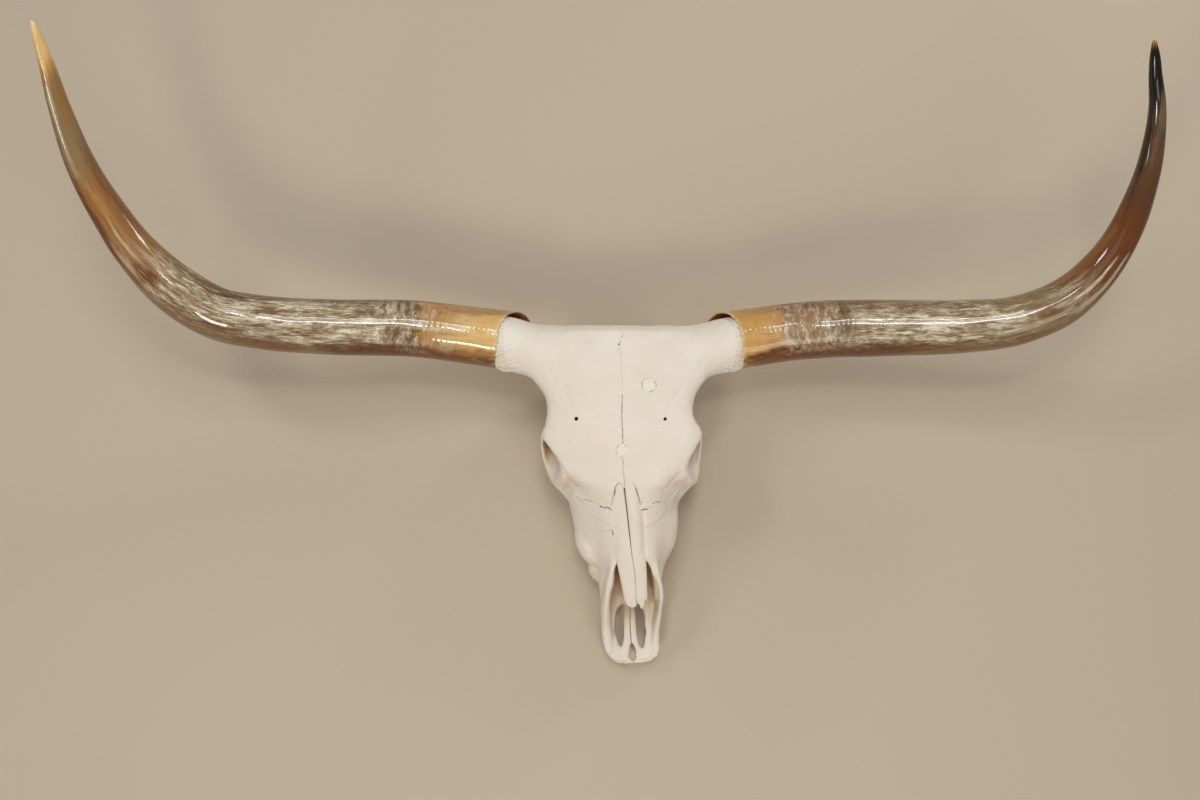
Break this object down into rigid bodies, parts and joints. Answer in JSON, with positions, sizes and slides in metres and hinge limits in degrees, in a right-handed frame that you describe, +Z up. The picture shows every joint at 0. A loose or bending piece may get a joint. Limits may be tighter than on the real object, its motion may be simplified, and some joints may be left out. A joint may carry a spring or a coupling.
{
  "type": "longhorn steer skull",
  "caption": "Bleached skull of a longhorn steer lying forehead up on its worn cheek teeth, with long horn sheaths that run straight out and then sweep towards the poll side and upwards.",
  "frame": {"origin": "on the floor, under the centre of the part's bounding box", "axes": "+Z up, out of the forehead; -Y towards the nose; +X towards the animal's left horn, which is on the right when the forehead is seen with the nose down"},
  "size_m": [1.504, 0.8444, 0.4262],
  "materials": {
    "bleached_bone": "dry, matt, sun-bleached bone",
    "horn_keratin": "polished horn sheath, mottled amber to near black"
  },
  "bodies": {
    "root": {"cranium": "bleached_bone", "maxilla_left": "bleached_bone", "maxilla_right": "bleached_bone", "premaxilla_left": "bleached_bone", "premaxilla_right": "bleached_bone", "nasal_left": "bleached_bone", "nasal_right": "bleached_bone", "horn_left": "horn_keratin", "horn_right": "horn_keratin"}
  },
  "joints": []
}
